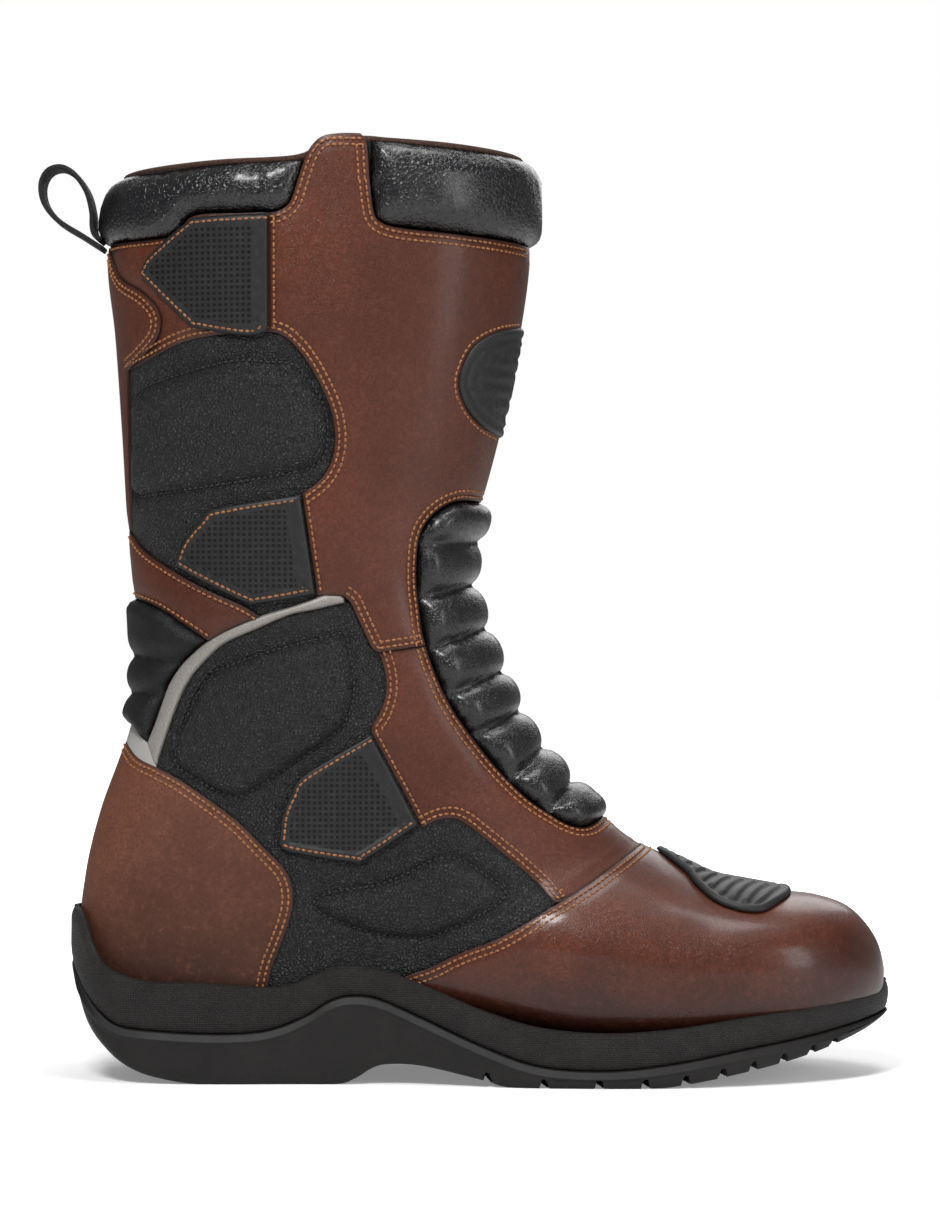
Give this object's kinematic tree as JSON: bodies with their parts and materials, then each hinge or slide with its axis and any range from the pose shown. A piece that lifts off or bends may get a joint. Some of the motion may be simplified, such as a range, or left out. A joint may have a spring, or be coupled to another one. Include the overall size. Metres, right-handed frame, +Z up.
{
  "type": "motorcycle riding boot",
  "caption": "Mid-calf leather riding boot for the right foot, with a flexing ankle, rubber patches, a lugged sole, a padded collar, a side zip and a closure tab.",
  "frame": {"origin": "on the ground under the ankle axis, at the flat of the heel's tread", "axes": "+X towards the toe, +Y towards the inner (medial) side of the foot, +Z up the leg"},
  "size_m": [0.3201, 0.116, 0.3483],
  "materials": {
    "brown_leather": "pull-up leather, semi-gloss",
    "textured_leather": "fine granular print, satin",
    "black_leather": "soft, glossy",
    "sole_rubber": "matt",
    "patch_rubber": "matt, dimpled",
    "reflective_piping": "retroreflective coated",
    "lining_fabric": "brushed",
    "webbing": "woven",
    "foam": "open-cell foam",
    "fibre_board": "pressed fibre board",
    "stiffener_plastic": "thermoplastic sheet",
    "shank_steel": "spring steel",
    "zip_metal": "black nickel"
  },
  "bodies": {
    "foot": {"flex_lining_front": "lining_fabric", "flex_lining_rear": "lining_fabric", "foot_lining": "lining_fabric", "footbed": "foam", "front_flex_panel": "black_leather", "heel_cover": "brown_leather", "heel_reflector": "reflective_piping", "heel_stiffener": "stiffener_plastic", "insole_board": "fibre_board", "instep_overlay": "brown_leather", "lateral_ankle_foam": "foam", "lateral_ankle_panel": "textured_leather", "lateral_lower_patch": "patch_rubber", "lateral_piping": "reflective_piping", "lateral_quarter": "textured_leather", "medial_ankle_foam": "foam", "medial_ankle_panel": "textured_leather", "medial_lower_patch": "patch_rubber", "medial_piping": "reflective_piping", "medial_quarter": "textured_leather", "midsole": "sole_rubber", "outsole": "sole_rubber", "rear_flex_panel": "black_leather", "shank": "shank_steel", "shift_pad": "patch_rubber", "toe_puff": "stiffener_plastic", "vamp": "brown_leather"},
    "shaft": {"back_stay": "brown_leather", "collar_front": "black_leather", "collar_rear": "black_leather", "diagonal_band": "brown_leather", "lateral_calf_panel": "textured_leather", "lateral_rear_panel": "brown_leather", "medial_calf_panel": "textured_leather", "medial_rear_panel": "brown_leather", "middle_patch": "patch_rubber", "shaft_lining": "lining_fabric", "shaft_panel": "brown_leather", "shin_badge": "patch_rubber", "shin_plate": "stiffener_plastic", "tab_anchor": "brown_leather", "tab_loop_patch": "webbing", "upper_patch": "patch_rubber", "zip_bottom_stop": "zip_metal", "zip_tape_front": "webbing", "zip_tape_rear": "webbing", "zip_teeth_front": "zip_metal", "zip_teeth_rear": "zip_metal", "zip_top_stop": "zip_metal"},
    "pull_loop": {"pull_loop": "webbing"},
    "closure_tab": {"closure_tab": "brown_leather", "tab_hook_patch": "webbing"},
    "zip_slider": {"zip_slider": "zip_metal"},
    "zip_puller": {"zip_puller": "zip_metal"}
  },
  "joints": [
    {"name": "ankle_flex", "type": "hinge", "parent": "foot", "child": "shaft", "pos_m": [0, 0, 0.104], "axis": [0, 1, 0], "range_deg": [-5, 15], "stiffness_Nm_per_rad": 15, "deforming": ["front_flex_panel", "rear_flex_panel", "instep_overlay", "lateral_ankle_panel", "medial_ankle_panel", "lateral_piping", "medial_piping", "flex_lining_front", "flex_lining_rear", "lateral_ankle_foam", "medial_ankle_foam"]},
    {"name": "pull_loop_swing", "type": "hinge", "parent": "shaft", "child": "pull_loop", "pos_m": [-0.0541, 0, 0.3113], "axis": [0, 1, 0], "range_deg": [-90, 0], "stiffness_Nm_per_rad": 0.05},
    {"name": "closure_tab_open", "type": "hinge", "parent": "shaft", "child": "closure_tab", "pos_m": [0.038, 0.0554, 0.304], "axis": [0, -0.0118, -0.9999], "range_deg": [0, 110]},
    {"name": "zip_slide", "type": "slide", "parent": "shaft", "child": "zip_slider", "axis": [0.0772, -0.071, -0.9945], "range_m": [0, 0.085]},
    {"name": "zip_puller_swing", "type": "hinge", "parent": "zip_slider", "child": "zip_puller", "pos_m": [0.02327, 0.05401, 0.28362], "axis": [0.997, 0, 0.0774], "range_deg": [0, 110]}
  ]
}
